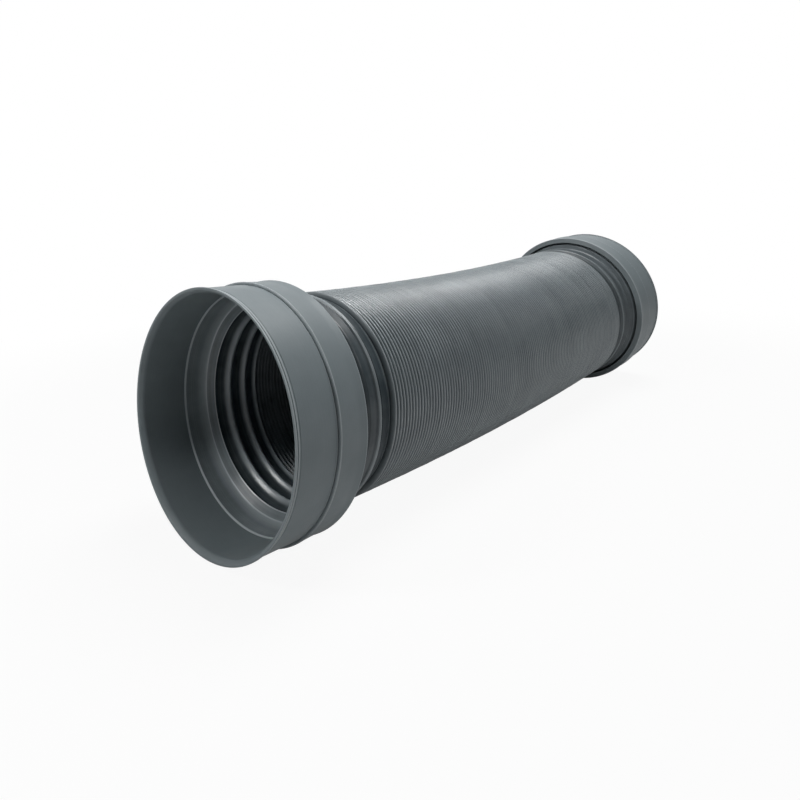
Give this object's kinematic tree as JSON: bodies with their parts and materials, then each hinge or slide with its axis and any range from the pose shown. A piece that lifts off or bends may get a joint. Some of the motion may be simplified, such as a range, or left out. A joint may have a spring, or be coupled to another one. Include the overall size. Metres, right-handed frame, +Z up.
{
  "type": "flexible waste hose",
  "caption": "Flexible pleated waste hose with a push-on pipe socket at each end; the pleats stretch and bend to line up with the drain pipes.",
  "frame": {"origin": "middle of the hose's length and width, at the floor under the two lock rings", "axes": "+X from the near socket to the far socket, +Z up, with the hose lying on its side"},
  "size_m": [0.4, 0.117, 0.1171],
  "materials": {
    "socket_plastic": "satin moulded grey plastic with fine turned lines",
    "hose_plastic": "satin grey plastic film folded into fine pleats",
    "seal_rubber": "dull dark grey rubber"
  },
  "bodies": {
    "near_end": {"near_mouth_sleeve": "socket_plastic", "near_seal_ring": "seal_rubber", "near_lock_ring": "socket_plastic", "near_hose_cuff": "hose_plastic", "pleats_01": "hose_plastic"},
    "hose_02": {"pleats_02": "hose_plastic"},
    "hose_03": {"pleats_03": "hose_plastic"},
    "hose_04": {"pleats_04": "hose_plastic"},
    "hose_05": {"pleats_05": "hose_plastic"},
    "hose_06": {"pleats_06": "hose_plastic"},
    "hose_07": {"pleats_07": "hose_plastic"},
    "hose_08": {"pleats_08": "hose_plastic"},
    "hose_09": {"pleats_09": "hose_plastic"},
    "hose_10": {"pleats_10": "hose_plastic"},
    "hose_11": {"pleats_11": "hose_plastic"},
    "hose_12": {"pleats_12": "hose_plastic"},
    "hose_13": {"pleats_13": "hose_plastic"},
    "hose_14": {"pleats_14": "hose_plastic"},
    "hose_15": {"pleats_15": "hose_plastic"},
    "hose_16": {"pleats_16": "hose_plastic"},
    "far_end": {"pleats_17": "hose_plastic", "far_hose_cuff": "hose_plastic", "far_lock_ring": "socket_plastic", "far_seal_ring": "seal_rubber", "far_mouth_sleeve": "socket_plastic"}
  },
  "joints": [
    {"name": "stretch_01", "type": "slide", "parent": "near_end", "child": "hose_02", "axis": [0.9989, 0, -0.0462], "range_m": [0, 0.027]},
    {"name": "bend_01", "type": "hinge", "parent": "hose_02", "child": "hose_03", "pos_m": [-0.10121, 0.05115, 0.05457], "axis": [0.04, 0, 0.9992], "range_deg": [0, 7.5]},
    {"name": "stretch_02", "type": "slide", "parent": "hose_03", "child": "hose_04", "axis": [0.9994, 0, -0.0339], "range_m": [0, 0.027]},
    {"name": "bend_02", "type": "hinge", "parent": "hose_04", "child": "hose_05", "pos_m": [-0.07008, 0.05115, 0.05352], "axis": [0.0277, 0, 0.9996], "range_deg": [0, 7.5]},
    {"name": "stretch_03", "type": "slide", "parent": "hose_05", "child": "hose_06", "axis": [0.9998, 0, -0.0216], "range_m": [0, 0.027]},
    {"name": "bend_03", "type": "hinge", "parent": "hose_06", "child": "hose_07", "pos_m": [-0.03894, 0.05115, 0.05285], "axis": [0.0154, 0, 0.9999], "range_deg": [0, 7.5]},
    {"name": "stretch_04", "type": "slide", "parent": "hose_07", "child": "hose_08", "axis": [1, 0, -0.0092], "range_m": [0, 0.027]},
    {"name": "bend_04", "type": "hinge", "parent": "hose_08", "child": "hose_09", "pos_m": [-0.00779, 0.05115, 0.05256], "axis": [0.0031, 0, 1], "range_deg": [0, 7.5]},
    {"name": "stretch_05", "type": "slide", "parent": "hose_09", "child": "hose_10", "axis": [1, 0, 0.0031], "range_m": [0, 0.027]},
    {"name": "bend_05", "type": "hinge", "parent": "hose_10", "child": "hose_11", "pos_m": [0.02336, 0.05115, 0.05266], "axis": [-0.0092, 0, 1], "range_deg": [0, 7.5]},
    {"name": "stretch_06", "type": "slide", "parent": "hose_11", "child": "hose_12", "axis": [0.9999, 0, 0.0154], "range_m": [0, 0.027]},
    {"name": "bend_06", "type": "hinge", "parent": "hose_12", "child": "hose_13", "pos_m": [0.05451, 0.05115, 0.05314], "axis": [-0.0216, 0, 0.9998], "range_deg": [0, 7.5]},
    {"name": "stretch_07", "type": "slide", "parent": "hose_13", "child": "hose_14", "axis": [0.9996, 0, 0.0277], "range_m": [0, 0.027]},
    {"name": "bend_07", "type": "hinge", "parent": "hose_14", "child": "hose_15", "pos_m": [0.08565, 0.05115, 0.054], "axis": [-0.0339, 0, 0.9994], "range_deg": [0, 7.5]},
    {"name": "stretch_08", "type": "slide", "parent": "hose_15", "child": "hose_16", "axis": [0.9992, 0, 0.04], "range_m": [0, 0.027]},
    {"name": "bend_08", "type": "hinge", "parent": "hose_16", "child": "far_end", "pos_m": [0.11677, 0.05115, 0.05525], "axis": [-0.0462, 0, 0.9989], "range_deg": [0, 7.5]}
  ],
  "couplings": [
    {"joint": "stretch_02", "follows": "stretch_01", "ratio": 1},
    {"joint": "bend_02", "follows": "bend_01", "ratio": 1},
    {"joint": "stretch_03", "follows": "stretch_01", "ratio": 1},
    {"joint": "bend_03", "follows": "bend_01", "ratio": 1},
    {"joint": "stretch_04", "follows": "stretch_01", "ratio": 1},
    {"joint": "bend_04", "follows": "bend_01", "ratio": 1},
    {"joint": "stretch_05", "follows": "stretch_01", "ratio": 1},
    {"joint": "bend_05", "follows": "bend_01", "ratio": 1},
    {"joint": "stretch_06", "follows": "stretch_01", "ratio": 1},
    {"joint": "bend_06", "follows": "bend_01", "ratio": 1},
    {"joint": "stretch_07", "follows": "stretch_01", "ratio": 1},
    {"joint": "bend_07", "follows": "bend_01", "ratio": 1},
    {"joint": "stretch_08", "follows": "stretch_01", "ratio": 1},
    {"joint": "bend_08", "follows": "bend_01", "ratio": 1}
  ]
}
